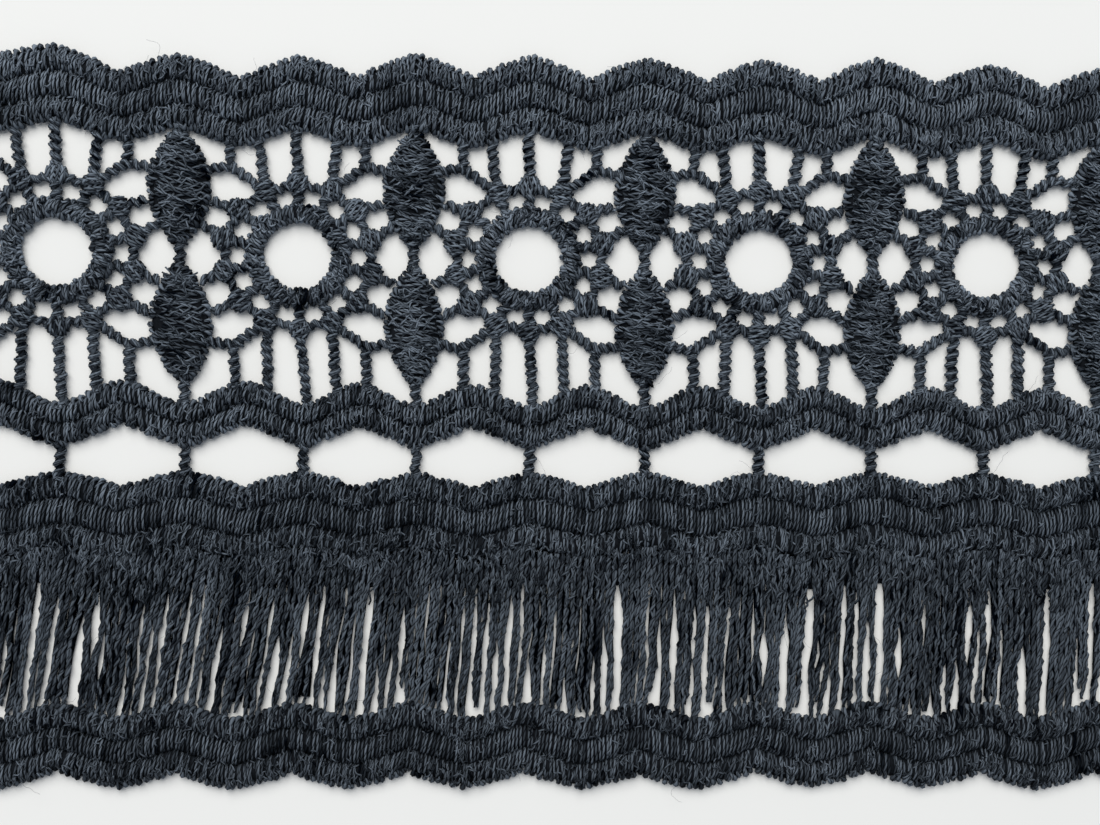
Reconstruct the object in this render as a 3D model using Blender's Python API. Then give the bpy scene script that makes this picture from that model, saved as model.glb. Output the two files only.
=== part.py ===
"""A cut length of black guipure lace trim with a fringe row, lying flat, face up.

Guipure lace is embroidered in one piece on a ground that is washed away. What is left here, from the
heading down, is a scalloped heading band, a row of rosettes between pairs of leaves, a zigzag band, a row
of long openings, a ribbed middle band, a fringe of soft strands and a ribbed hem band.

+X runs along the trim, +Y points at the heading and +Z is up, off the face. Everything is in metres.
The origin is on the underside, in the middle of the length and of the width.
"""

import math
import random

import bmesh
import bpy
from mathutils import Vector

MM = 0.001

# The repeat. A rosette stands halfway between two pairs of leaves, and every band has one wave for each.
WAVE = 14.5 * MM
REPEAT = 2 * WAVE
ROSETTES = 5
STEPS_PER_WAVE = 6
STEP = WAVE / STEPS_PER_WAVE
END_PAST_LEAVES = 2 * STEP
HALF_LENGTH = ROSETTES * REPEAT / 2 + END_PAST_LEAVES

# Heights above the surface that the lace lies on.
EDGE_HIGH = 1.0 * MM
VALLEY_HIGH = 1.35 * MM
CROWN_HIGH = 1.9 * MM
BAR_LOW, BAR_HIGH = 0.13 * MM, 0.94 * MM
LINK_LOW, LINK_HIGH = 0.21 * MM, 0.87 * MM

# Each edge of a band: its Y where a bar or leaf meets it, its Y halfway to the next, and its curve.
# A curve over 1 is round at the bars and pointed between them, under 1 the other way, and 0 is a sine.
EDGES = {
    "heading_top": (45.6 * MM, 43.0 * MM, 1.35),
    "heading_foot": (36.4 * MM, 34.5 * MM, 0),
    "zigzag_top": (2.4 * MM, 5.0 * MM, 0),
    "zigzag_foot": (-3.1 * MM, 0.0 * MM, 1.0),
    "middle_top": (-6.25 * MM, -8.1 * MM, 1.35),
    "middle_foot": (-16.0 * MM, -17.3 * MM, 0),
    "root_top": (-16.3 * MM, -17.6 * MM, 0),
    "root_foot": (-20.2 * MM, -21.0 * MM, 0),
    "hem_top": (-34.9 * MM, -36.7 * MM, 0),
    "hem_foot": (-43.6 * MM, -45.6 * MM, 0.7),
}

# The rosette: a wound ring, a row of knots round it, and a small hole between each two knots.
ROSETTE_Y = 20.6 * MM
KNOTS = 14
RING_INSIDE, RING_CROWN, RING_OUTSIDE = 4.3 * MM, 5.5 * MM, 6.6 * MM
HOLE_OUTSIDE, LINK_OUTSIDE, KNOT_OUTSIDE = 8.3 * MM, 9.9 * MM, 10.9 * MM
KNOT_MIDDLE, KNOT_HIGH = 9.4 * MM, 1.75 * MM
KNOT_HALF_ANGLE = math.radians(7.6)
ROSETTE_FLATTENED = 0.95

# The leaves of a pair, upper and lower: Y of both tips and the width.
LEAVES = {"upper": (36.0 * MM, 21.9 * MM, 7.7 * MM), "lower": (19.4 * MM, 5.0 * MM, 7.4 * MM)}
LEAF_STATIONS = 7
LEAF_TIP_WIDTH = 1.3 * MM
LEAF_HIGH = 1.8 * MM

BAR_WIDTH = 1.15 * MM
LINK_WIDTH = 0.95 * MM
BITE = 0.5 * MM

# The fringe: strands a little apart, of which one in three stops short of the hem. The pitch and the lean
# are set so that no strand's corner falls on a corner of the bands above and below it.
STRAND_PITCH = 0.6 * STEP
STRAND_LEAN = -STRAND_PITCH / 3
STRAND_WIDTH = 1.0 * MM
STRAND_LOW, STRAND_HIGH = 0.12 * MM, 0.92 * MM
STRAND_SHORT_END = -33.6 * MM
STRAND_SWAY, STRAND_STRAY = 0.12 * MM, 0.05 * MM
STRAND_BEND_AT = 0.55
SHORT_EVERY = 3
SEED = 7

BLACK_THREAD = (0.018, 0.02, 0.025, 1.0)
THREAD_ROUGHNESS = 0.62


def clear_scene():
    for obj in list(bpy.data.objects):
        bpy.data.objects.remove(obj)


def thread_material(name):
    """Black embroidery thread: nearly matt, with no metal in it."""
    material = bpy.data.materials.new(name)
    material.use_nodes = True
    shader = material.node_tree.nodes["Principled BSDF"]
    shader.inputs["Base Color"].default_value = BLACK_THREAD
    shader.inputs["Roughness"].default_value = THREAD_ROUGHNESS
    shader.inputs["Metallic"].default_value = 0.0
    return material


def edge_y(name, x):
    """Y of a band's edge at x."""
    at_bars, between, curve = EDGES[name]
    from_bar = abs((x / WAVE + 0.5) % 1.0 - 0.5) * 2
    share = from_bar**curve if curve else (1 - math.cos(math.pi * from_bar)) / 2
    return at_bars + (between - at_bars) * share


def stations():
    count = round(2 * HALF_LENGTH / STEP)
    return [-HALF_LENGTH + i * STEP for i in range(count + 1)]


def object_of(bm, name):
    """An object of that name in the scene, with the mesh's faces turned outwards."""
    bmesh.ops.recalc_face_normals(bm, faces=bm.faces)
    mesh = bpy.data.meshes.new(name)
    bm.to_mesh(mesh)
    bm.free()
    obj = bpy.data.objects.new(name, mesh)
    bpy.context.scene.collection.objects.link(obj)
    return obj


def add_tube(bm, loops, closed=False):
    """Bridges loops of points into a skin. An open one gets a cap at each end."""
    rows = [[bm.verts.new(point) for point in loop] for loop in loops]
    pairs = list(zip(rows, rows[1:] + rows[:1] if closed else rows[1:]))
    for row, following in pairs:
        for i in range(len(row)):
            j = (i + 1) % len(row)
            bm.faces.new((row[i], row[j], following[j], following[i]))
    if not closed:
        bm.faces.new(rows[0])
        bm.faces.new(rows[-1])


def add_band(bm, top, foot, ribs, edge_high=EDGE_HIGH, crown_high=CROWN_HIGH, valley_high=VALLEY_HIGH):
    """A band between two edges, with that many raised ribs side by side."""
    loops = []
    for x in stations():
        low, high = edge_y(foot, x), edge_y(top, x)
        rib = (high - low) / ribs
        section = [(low, 0.0), (low, edge_high)]
        for k in range(ribs):
            section.append((low + (k + 0.5) * rib, crown_high))
            if k < ribs - 1:
                section.append((low + (k + 1) * rib, valley_high))
        section += [(high, edge_high), (high, 0.0)]
        loops.append([Vector((x, y, z)) for y, z in section])
    add_tube(bm, loops)


def add_leaf(bm, x, top, foot, width):
    """A leaf crowned along its middle, from tip to tip."""
    loops = []
    for i in range(LEAF_STATIONS):
        share = i / (LEAF_STATIONS - 1)
        swell = math.sin(math.pi * share) ** 0.85
        half = (LEAF_TIP_WIDTH + (width - LEAF_TIP_WIDTH) * swell) / 2
        y = top + (foot - top) * share
        crown = EDGE_HIGH + (LEAF_HIGH - EDGE_HIGH) * min(1.0, 2 * swell)
        section = [(-half, 0.0), (-half, EDGE_HIGH), (0.0, crown), (half, EDGE_HIGH), (half, 0.0)]
        loops.append([Vector((x + across, y, z)) for across, z in section])
    add_tube(bm, loops)


def rosette_point(x, radius, angle, z):
    return Vector((x + radius * math.sin(angle), ROSETTE_Y + ROSETTE_FLATTENED * radius * math.cos(angle), z))


def add_rosette(bm, x):
    """The ring, its spokes, the knots and the links between them, with a hole between each two spokes."""
    radii = (
        ("inside", RING_INSIDE, EDGE_HIGH),
        ("crown", RING_CROWN, CROWN_HIGH),
        ("outside", RING_OUTSIDE, EDGE_HIGH),
        ("hole", HOLE_OUTSIDE, EDGE_HIGH),
        ("rim", LINK_OUTSIDE, EDGE_HIGH),
    )
    top, low, middles, tips_top, tips_low = [], [], [], [], []
    for k in range(KNOTS):
        turn = 2 * math.pi * k / KNOTS
        for side in (-1, 1):
            angle = turn + side * KNOT_HALF_ANGLE
            top.append({name: bm.verts.new(rosette_point(x, r, angle, z)) for name, r, z in radii})
            low.append({name: bm.verts.new(rosette_point(x, r, angle, 0.0)) for name, r, _ in radii})
        middles.append(bm.verts.new(rosette_point(x, KNOT_MIDDLE, turn, KNOT_HIGH)))
        tips_top.append(bm.verts.new(rosette_point(x, KNOT_OUTSIDE, turn, EDGE_HIGH)))
        tips_low.append(bm.verts.new(rosette_point(x, KNOT_OUTSIDE, turn, 0.0)))
    for i in range(2 * KNOTS):
        j = (i + 1) % (2 * KNOTS)
        a, b, c, d = top[i], top[j], low[i], low[j]
        bm.faces.new((a["inside"], b["inside"], b["crown"], a["crown"]))
        bm.faces.new((a["crown"], b["crown"], b["outside"], a["outside"]))
        bm.faces.new((a["inside"], b["inside"], d["inside"], c["inside"]))
        bm.faces.new((c["inside"], d["inside"], d["outside"], c["outside"]))
        if i % 2 == 0:
            middle, tip, tip_low = middles[i // 2], tips_top[i // 2], tips_low[i // 2]
            bm.faces.new((a["outside"], b["outside"], b["hole"], a["hole"]))
            bm.faces.new((c["outside"], d["outside"], d["hole"], c["hole"]))
            around = (a["hole"], b["hole"], b["rim"], tip, a["rim"])
            for first, second in zip(around, around[1:] + around[:1]):
                bm.faces.new((first, second, middle))
            bm.faces.new((c["hole"], d["hole"], d["rim"], tip_low, c["rim"]))
            bm.faces.new((a["rim"], tip, tip_low, c["rim"]))
            bm.faces.new((tip, b["rim"], d["rim"], tip_low))
        else:
            bm.faces.new((a["hole"], b["hole"], b["rim"], a["rim"]))
            bm.faces.new((c["hole"], d["hole"], d["rim"], c["rim"]))
            bm.faces.new((a["rim"], b["rim"], d["rim"], c["rim"]))
            bm.faces.new((a["outside"], b["outside"], d["outside"], c["outside"]))
            bm.faces.new((a["hole"], b["hole"], d["hole"], c["hole"]))
            bm.faces.new((a["outside"], a["hole"], c["hole"], c["outside"]))
            bm.faces.new((b["outside"], b["hole"], d["hole"], d["outside"]))


def add_bar(bm, start, end, width, low, high):
    """A straight bar of four sides from start to end, both (x, y)."""
    a, b = Vector(start), Vector(end)
    across = (b - a).orthogonal().normalized() * width / 2
    loops = []
    for point in (a, b):
        left, right = point - across, point + across
        loops.append([Vector((p.x, p.y, z)) for p, z in ((left, low), (right, low), (right, high), (left, high))])
    add_tube(bm, loops)


def rosette_xs():
    first = -(ROSETTES - 1) * REPEAT / 2
    return [first + k * REPEAT for k in range(ROSETTES)]


def leaf_xs():
    first = -ROSETTES * REPEAT / 2
    return [first + k * REPEAT for k in range(ROSETTES + 1)]


def knot_xy(x, index):
    point = rosette_point(x, KNOT_MIDDLE, 2 * math.pi * index / KNOTS, 0.0)
    return point.x, point.y


# The Y-shaped joins beside each leaf: how far from the rosette's middle they stand, and their Y.
FORK_TOP = (8.35 * MM, 31.7 * MM)
FORK_FOOT = (8.3 * MM, 9.5 * MM)
# The knots that a leaf is tied to, counted from the top one, and where their links meet the leaf.
LEAF_TIES = ((2, 10.6 * MM, 27.2 * MM), (3, 11.9 * MM, 24.4 * MM), (4, 11.9 * MM, 17.3 * MM), (5, 10.7 * MM, 13.6 * MM))
# The bars between knots and bands: the knot, and how far out the bar meets the band.
TOP_BARS = ((0, -0.3 * MM), (1, 4.9 * MM), (-1, -4.9 * MM))
FOOT_BARS = ((7, 0.5 * MM), (6, 4.4 * MM), (8, -4.4 * MM))


def add_rosette_bars(bars, x):
    """The bars that hang a rosette between the heading and the zigzag band, and the forks' stems."""
    for knot, out in TOP_BARS:
        meets = x + out
        add_bar(bars, knot_xy(x, knot), (meets, edge_y("heading_foot", meets) + BITE), BAR_WIDTH, BAR_LOW, BAR_HIGH)
    for knot, out in FOOT_BARS:
        meets = x + out
        add_bar(bars, knot_xy(x, knot), (meets, edge_y("zigzag_top", meets) - BITE), BAR_WIDTH, BAR_LOW, BAR_HIGH)
    for side in (-1, 1):
        for (out, y), edge, bite in ((FORK_TOP, "heading_foot", BITE), (FORK_FOOT, "zigzag_top", -BITE)):
            meets = x + side * out
            add_bar(bars, (meets, y), (meets, edge_y(edge, meets) + bite), BAR_WIDTH, BAR_LOW, BAR_HIGH)


def add_rosette_links(links, x):
    """The thin links from the forks and the knots to the leaves on both sides."""
    for side in (-1, 1):
        fork_knots = ((FORK_TOP, side * 1, 31.0 * MM), (FORK_FOOT, side * 6, 10.1 * MM))
        for (out, y), knot, leaf_y in fork_knots:
            leaf_end = (x + side * 11.9 * MM, leaf_y)
            # A link bends at the fork, so it is one bent strip and not two crossing ones.
            add_bent_link(links, knot_xy(x, knot), (x + side * out, y), leaf_end)
        for knot, out, y in LEAF_TIES:
            add_bar(links, knot_xy(x, side * knot), (x + side * out, y), LINK_WIDTH, LINK_LOW, LINK_HIGH)


def add_bent_link(bm, start, corner, end):
    a, b, c = Vector(start), Vector(corner), Vector(end)
    directions = ((b - a).normalized(), (c - a).normalized(), (c - b).normalized())
    loops = []
    for point, direction in zip((a, b, c), directions):
        across = direction.orthogonal() * LINK_WIDTH / 2
        left, right = point - across, point + across
        loops.append(
            [
                Vector((p.x, p.y, z))
                for p, z in ((left, LINK_LOW), (right, LINK_LOW), (right, LINK_HIGH), (left, LINK_HIGH))
            ]
        )
    add_tube(bm, loops)


def add_leaf_bars(bars, x):
    """The short bars that hold a pair of leaves between the bands, and to each other."""
    upper_top, upper_foot, _ = LEAVES["upper"]
    lower_top, lower_foot, _ = LEAVES["lower"]
    runs = (
        (edge_y("heading_foot", x) + BITE, upper_top - BITE),
        (upper_foot + BITE, lower_top - BITE),
        (lower_foot + BITE, edge_y("zigzag_top", x) - BITE),
    )
    for start, end in runs:
        add_bar(bars, (x, start), (x, end), BAR_WIDTH, BAR_LOW, BAR_HIGH)


def add_opening_bars(bars):
    """The bars between the zigzag band and the middle band, one at each wave."""
    for k in range(-ROSETTES, ROSETTES + 1):
        x = k * WAVE
        start, end = edge_y("zigzag_foot", x) + BITE, edge_y("middle_top", x) - BITE
        add_bar(bars, (x, start), (x, end), BAR_WIDTH, BAR_LOW, BAR_HIGH)


def fuse(base, others):
    """Unites the others with the base in turn, and removes them."""
    for other in others:
        union = base.modifiers.new("fuse_" + other.name, "BOOLEAN")
        union.operation = "UNION"
        union.solver = "EXACT"
        union.object = other
        bpy.context.view_layer.objects.active = base
        bpy.ops.object.modifier_apply(modifier=union.name)
        bpy.data.objects.remove(other)


def make_lace():
    """The heading, rosettes, leaves, zigzag band and middle band: one piece of embroidery."""
    body, bars, links = bmesh.new(), bmesh.new(), bmesh.new()
    add_band(body, "heading_top", "heading_foot", 3)
    add_band(body, "zigzag_top", "zigzag_foot", 2)
    add_band(body, "middle_top", "middle_foot", 3)
    for x in rosette_xs():
        add_rosette(body, x)
        add_rosette_bars(bars, x)
        add_rosette_links(links, x)
    for x in leaf_xs():
        for top, foot, width in LEAVES.values():
            add_leaf(body, x, top, foot, width)
        add_leaf_bars(bars, x)
    add_opening_bars(bars)
    lace = object_of(body, "lace")
    fuse(lace, [object_of(bars, "bars"), object_of(links, "links")])
    lace.data.materials.append(thread_material("lace_thread"))
    return lace


def strand_lines():
    """For each strand its x at the root, halfway and at its end, and the Y of its end. None meet."""
    rng = random.Random(SEED)
    lines = []
    for i in range(int(2 * HALF_LENGTH / STRAND_PITCH)):
        root = -HALF_LENGTH + (i + 0.5) * STRAND_PITCH
        lean = STRAND_LEAN if i > 0 else 0.0
        sway = STRAND_SWAY * math.sin(i * 2.1) + STRAND_STRAY * rng.uniform(-1, 1)
        short = i % SHORT_EVERY == 0
        end_y = STRAND_SHORT_END if short else edge_y("hem_top", root + lean) - BITE
        lines.append((root, root + STRAND_BEND_AT * lean + sway, root + lean, end_y))
    return lines


def add_strand(bm, root, halfway, end, end_y):
    """A strand of three sides, bent a little on its way down."""
    start_y = edge_y("root_foot", root) + BITE
    loops = []
    half = STRAND_WIDTH / 2
    corners = ((-half, STRAND_LOW), (half, STRAND_LOW), (0.0, STRAND_HIGH))
    for x, share in ((root, 0.0), (halfway, STRAND_BEND_AT), (end, 1.0)):
        y = start_y + (end_y - start_y) * share
        loops.append([Vector((x + across, y, z)) for across, z in corners])
    add_tube(bm, loops)


def make_fringe():
    """The fringe's root strip, its strands and the hem band that most of them run into."""
    body, strands = bmesh.new(), bmesh.new()
    add_band(body, "root_top", "root_foot", 1, crown_high=1.5 * MM)
    add_band(body, "hem_top", "hem_foot", 3)
    for line in strand_lines():
        add_strand(strands, *line)
    fringe = object_of(body, "fringe")
    fuse(fringe, [object_of(strands, "strands")])
    fringe.data.materials.append(thread_material("fringe_thread"))
    return fringe


def main():
    clear_scene()
    make_lace()
    make_fringe()


main()
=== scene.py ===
# %% [markdown]
# # A cut length of black guipure lace
# Guipure is lace made by machine embroidery. The thread is stitched on a ground cloth, the ground is washed
# away, and only the stitches are left, so all that can be seen is thread. This lesson builds it the same way.
# Firm padding gives each part its body, and then thousands of small tubes are laid over it as the needle
# would lay them: satin stitches over the bands, loops along the edges, wraps round the rings and bars.

# %% Load the frame
import math

import bpy
import numpy as np
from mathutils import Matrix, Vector


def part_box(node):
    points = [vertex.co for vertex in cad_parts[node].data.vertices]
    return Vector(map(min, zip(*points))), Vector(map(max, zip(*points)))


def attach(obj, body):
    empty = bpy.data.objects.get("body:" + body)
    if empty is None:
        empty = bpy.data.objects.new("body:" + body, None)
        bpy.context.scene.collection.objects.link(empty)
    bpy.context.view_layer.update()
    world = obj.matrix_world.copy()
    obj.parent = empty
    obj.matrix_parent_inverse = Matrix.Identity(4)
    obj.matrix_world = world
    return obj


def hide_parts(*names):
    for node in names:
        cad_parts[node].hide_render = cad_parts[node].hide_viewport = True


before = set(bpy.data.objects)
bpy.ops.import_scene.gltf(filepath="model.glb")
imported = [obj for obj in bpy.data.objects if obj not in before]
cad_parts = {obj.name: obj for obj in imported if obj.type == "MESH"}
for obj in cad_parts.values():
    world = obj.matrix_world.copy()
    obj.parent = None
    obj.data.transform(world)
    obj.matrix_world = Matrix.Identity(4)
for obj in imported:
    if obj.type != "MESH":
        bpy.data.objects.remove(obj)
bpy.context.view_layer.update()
for node, body in (("lace", "root"), ("fringe", "root")):
    low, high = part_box(node)
    print(f"{node}: {[round((b - a) * 1000, 1) for a, b in zip(low, high)]} mm, on {body}")

# %% [markdown]
# ## The sizes that drive everything
# One repeat of the pattern is a rosette and a pair of leaves, and each band makes two waves in it. A band's
# edge waves between two values of Y, so two numbers and a curve say what it is. A curve over 1 is round at
# the bars and pointed between them, under 1 the other way, and 0 is a plain sine.

# %% Sizes
MM = 0.001
WAVE = 14.5 * MM
REPEAT = 2 * WAVE
ROSETTES = 5
HALF_LENGTH = ROSETTES * REPEAT / 2 + WAVE / 3

EDGES = {
    # edge: (Y at the bars, Y between them, curve)
    "heading_top": (45.6 * MM, 43.0 * MM, 1.35),
    "heading_foot": (36.2 * MM, 34.3 * MM, 0),
    "zigzag_top": (2.4 * MM, 5.0 * MM, 0),
    "zigzag_foot": (-3.4 * MM, -0.4 * MM, 1.0),
    "middle_top": (-6.25 * MM, -8.1 * MM, 1.35),
    "middle_foot": (-16.0 * MM, -17.3 * MM, 0),
    "root_foot": (-20.2 * MM, -21.0 * MM, 0),
    "hem_top": (-34.9 * MM, -36.7 * MM, 0),
    "hem_foot": (-43.4 * MM, -45.6 * MM, 0.65),
}
BANDS = {
    # band: (top edge, foot edge, ribs)
    "heading": ("heading_top", "heading_foot", 3),
    "zigzag": ("zigzag_top", "zigzag_foot", 2),
    "middle": ("middle_top", "middle_foot", 3),
    "hem": ("hem_top", "hem_foot", 3),
}
ROSETTE_Y = 20.6 * MM
ROSETTE_FLATTENED = 0.95
KNOTS = 14
KNOT_MIDDLE = 9.4 * MM
RING_INSIDE, RING_OUTSIDE = 4.3 * MM, 6.65 * MM
LEAVES = {"upper": (36.0 * MM, 21.9 * MM, 7.7 * MM), "lower": (19.4 * MM, 5.0 * MM, 7.4 * MM)}
LEAF_TIP_WIDTH = 1.3 * MM

rosette_xs = [(k - (ROSETTES - 1) / 2) * REPEAT for k in range(ROSETTES)]
leaf_xs = [(k - ROSETTES / 2) * REPEAT for k in range(ROSETTES + 1)]
bar_xs = [k * WAVE for k in range(-ROSETTES, ROSETTES + 1)]


def edge_y(name, x):
    """Y of a band's edge at x, for one x or an array of them."""
    at_bars, between, curve = EDGES[name]
    from_bar = np.abs((np.asarray(x) / WAVE + 0.5) % 1.0 - 0.5) * 2
    share = from_bar**curve if curve else (1 - np.cos(np.pi * from_bar)) / 2
    return at_bars + (between - at_bars) * share


print(f"{ROSETTES} rosettes, {len(leaf_xs)} pairs of leaves, {2 * HALF_LENGTH / MM:.1f} mm long")

# %% [markdown]
# ## How the cloth lies
# Cloth laid down by hand is never quite square. A few soft pulls, each with a place, a reach and a push, move
# every piece of the lace sideways in the same way, so that nothing comes apart.

# %% Pulls in the cloth
PULLS = (
    # (x, y, reach along, reach across, push along, push across)
    (-74 * MM, 46 * MM, 14 * MM, 16 * MM, -0.6 * MM, 0.75 * MM),
    (-74 * MM, 24 * MM, 14 * MM, 22 * MM, -0.35 * MM, 0.45 * MM),
    (-36 * MM, 45 * MM, 15 * MM, 12 * MM, 0.0 * MM, -0.75 * MM),
    (-38 * MM, -2 * MM, 22 * MM, 12 * MM, 1.05 * MM, 0.15 * MM),
    (-34 * MM, 20 * MM, 16 * MM, 22 * MM, 0.35 * MM, 0.0 * MM),
    (30 * MM, 24 * MM, 55 * MM, 22 * MM, -0.48 * MM, 0.0 * MM),
    (50 * MM, 34 * MM, 40 * MM, 5 * MM, 0.0 * MM, -0.3 * MM),
    (44 * MM, 46 * MM, 10 * MM, 8 * MM, 0.0 * MM, 0.5 * MM),
    (62 * MM, -4 * MM, 34 * MM, 14 * MM, -0.5 * MM, 0.15 * MM),
    (40 * MM, -9 * MM, 40 * MM, 5 * MM, 0.0 * MM, 0.5 * MM),
    (-6 * MM, -45 * MM, 30 * MM, 14 * MM, -0.55 * MM, 0.1 * MM),
    (52 * MM, -42 * MM, 30 * MM, 12 * MM, -0.35 * MM, 0.0 * MM),
    (-66 * MM, 46 * MM, 6 * MM, 8 * MM, 0.0 * MM, 0.75 * MM),
    (-62 * MM, 30 * MM, 10 * MM, 7 * MM, -0.1 * MM, 0.38 * MM),
    (-5 * MM, 11 * MM, 90 * MM, 10 * MM, 0.0 * MM, -0.22 * MM),
    (72 * MM, 28 * MM, 18 * MM, 18 * MM, -0.3 * MM, -0.1 * MM),
    (-64 * MM, 3 * MM, 14 * MM, 11 * MM, -0.32 * MM, -0.12 * MM),
    (-56 * MM, -45 * MM, 11 * MM, 7 * MM, 0.0 * MM, 0.4 * MM),
    (15 * MM, -45 * MM, 8 * MM, 7 * MM, 0.0 * MM, -0.35 * MM),
    (65 * MM, -45 * MM, 9 * MM, 7 * MM, 0.0 * MM, -0.5 * MM),
)


def lay(points):
    """Moves points sideways with the pulls in the cloth."""
    moved = np.array(points, dtype=float)
    x, y = moved[..., 0].copy(), moved[..., 1].copy()
    for at_x, at_y, along, across, push_x, push_y in PULLS:
        share = np.exp(-(((x - at_x) / along) ** 2) - ((y - at_y) / across) ** 2)
        moved[..., 0] += push_x * share
        moved[..., 1] += push_y * share
    return moved


def wander(at, scale, seed):
    """A smooth line that wanders between about -1 and 1, and changes over about that length."""
    starts = np.random.default_rng(seed).uniform(0, 2 * np.pi, 4)
    waves = (1.0, 0.61, 0.37, 1.7)
    return sum(np.sin(2 * np.pi * at / (scale * w) + s) for w, s in zip(waves, starts)) / 2.2


# %% [markdown]
# ## Black thread
# Black embroidery thread isn't black in a good light. It is a dark blue grey, because each filament catches
# the light on its side. The thread has almost no gloss. A painted shade darkens the groove between its two
# plies, and the plies and the fine filaments are also a bump. Both follow the UV map, where U runs along the
# thread in millimetres and V goes once round it. Each thread is a little lighter or darker than its
# neighbours, and the colour is a little lighter towards the heading.

# %% Thread finish
PLY_TURN = 2.4
PLY_BUMP = 0.11 * MM
FILAMENT_BUMP = 0.05 * MM
GLOSS = 0.02
PATCH_SHARE, TONE_SHARE, TONE_SHIFT = 0.95, 0.78, -0.38
# Painted shade in the groove between the two plies, and how dark it gets.
PLY_SHADE_FROM, PLY_SHADE_TO, PLY_SHADE_DARKEST = 0.05, 0.62, 0.02
# The colour is scaled from darker at the hem to lighter at the heading, along Y.
Y_LIGHTNESS_AT_HEM, Y_LIGHTNESS_AT_HEADING = 0.66, 1.18
Y_LIGHTNESS_REACH = 46 * MM
DARKEST = (0.0005, 0.002, 0.005, 1.0)


def link(tree, out, into):
    tree.links.new(out, into)


def new_material(name, roughness):
    """A material, its node tree and its shader."""
    material = bpy.data.materials.new(name)
    material.use_nodes = True
    shader = material.node_tree.nodes["Principled BSDF"]
    shader.inputs["Roughness"].default_value = roughness
    return material, material.node_tree, shader


def maths(tree, operation, *values):
    """A maths node's output. Each value is a number or the output of another node."""
    node = tree.nodes.new("ShaderNodeMath")
    node.operation = operation
    for value, into in zip(values, node.inputs):
        if isinstance(value, float):
            into.default_value = value
        else:
            link(tree, value, into)
    return node.outputs["Value"]


def mapped(tree, value, low, high, to_low, to_high=1.0):
    """Turns the range from low to high into the range from to_low to to_high."""
    node = tree.nodes.new("ShaderNodeMapRange")
    for name, number in (("From Min", low), ("From Max", high), ("To Min", to_low), ("To Max", to_high)):
        node.inputs[name].default_value = number
    link(tree, value, node.inputs["Value"])
    return node.outputs["Result"]


def noise(tree, place, scale, detail=2.0):
    node = tree.nodes.new("ShaderNodeTexNoise")
    node.inputs["Scale"].default_value = scale
    node.inputs["Detail"].default_value = detail
    link(tree, place, node.inputs["Vector"])
    return node.outputs["Fac"]


def between(tree, dark, light, share):
    """A colour between two colours."""
    node = tree.nodes.new("ShaderNodeMix")
    node.data_type = "RGBA"
    node.inputs["A"].default_value = dark
    node.inputs["B"].default_value = light
    link(tree, share, node.inputs["Factor"])
    return node.outputs["Result"]


def bump(tree, height, distance, strength=1.0):
    node = tree.nodes.new("ShaderNodeBump")
    node.inputs["Strength"].default_value = strength
    node.inputs["Distance"].default_value = distance
    link(tree, height, node.inputs["Height"])
    return node


def yarn_finish(name, dark, light, roughness):
    """A thread's material: a colour between dark and light by its tone, painted shade between the plies, and
    plies and filaments as bumps.
    """
    material, tree, shader = new_material(name, roughness)
    shader.inputs["Metallic"].default_value = 0.0
    shader.inputs["Specular IOR Level"].default_value = GLOSS
    tone = tree.nodes.new("ShaderNodeAttribute")
    tone.attribute_name = "tone"
    place = tree.nodes.new("ShaderNodeTexCoord").outputs["Object"]
    shift = maths(tree, "MULTIPLY_ADD", tone.outputs["Fac"], TONE_SHARE, TONE_SHIFT)
    share = maths(tree, "MULTIPLY_ADD", noise(tree, place, 260.0, 3.0), PATCH_SHARE, shift)
    colour = between(tree, dark, light, share)

    uv = tree.nodes.new("ShaderNodeUVMap")
    uv.uv_map = "UVMap"
    parts = tree.nodes.new("ShaderNodeSeparateXYZ")
    link(tree, uv.outputs["UV"], parts.inputs["Vector"])
    along = maths(tree, "MULTIPLY", parts.outputs["X"], 2 * math.pi / PLY_TURN)
    turned = maths(tree, "MULTIPLY_ADD", parts.outputs["Y"], 2 * math.pi, along)
    ply = maths(tree, "ABSOLUTE", maths(tree, "SINE", turned))
    # Painted shade: the colour is darkened in the groove between the two plies.
    ply_shade = mapped(tree, ply, PLY_SHADE_FROM, PLY_SHADE_TO, PLY_SHADE_DARKEST)
    sides = tree.nodes.new("ShaderNodeSeparateXYZ")
    link(tree, place, sides.inputs["Vector"])
    # Colour made lighter towards the heading and darker towards the hem, by Y.
    y_lightness = mapped(tree, sides.outputs["Y"], -Y_LIGHTNESS_REACH, Y_LIGHTNESS_REACH, Y_LIGHTNESS_AT_HEM, Y_LIGHTNESS_AT_HEADING)
    ply_shaded = tree.nodes.new("ShaderNodeVectorMath")
    ply_shaded.operation = "SCALE"
    link(tree, colour, ply_shaded.inputs["Vector"])
    link(tree, maths(tree, "MULTIPLY", ply_shade, y_lightness), ply_shaded.inputs["Scale"])
    link(tree, ply_shaded.outputs["Vector"], shader.inputs["Base Color"])

    stretch = tree.nodes.new("ShaderNodeMapping")
    stretch.inputs["Scale"].default_value = (1.6, 9.0, 1.0)
    link(tree, uv.outputs["UV"], stretch.inputs["Vector"])
    plies = bump(tree, ply, PLY_BUMP, 0.8)
    filaments = bump(tree, noise(tree, stretch.outputs["Vector"], 1.4), FILAMENT_BUMP, 0.7)
    link(tree, plies.outputs["Normal"], filaments.inputs["Normal"])
    link(tree, filaments.outputs["Normal"], shader.inputs["Normal"])
    return material


satin_thread = yarn_finish("satin_thread", DARKEST, (0.204, 0.244, 0.298, 1.0), 0.5)
loop_thread = yarn_finish("loop_thread", DARKEST, (0.179, 0.215, 0.263, 1.0), 0.55)
soft_thread = yarn_finish("soft_thread", DARKEST, (0.144, 0.173, 0.212, 1.0), 0.55)

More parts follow.
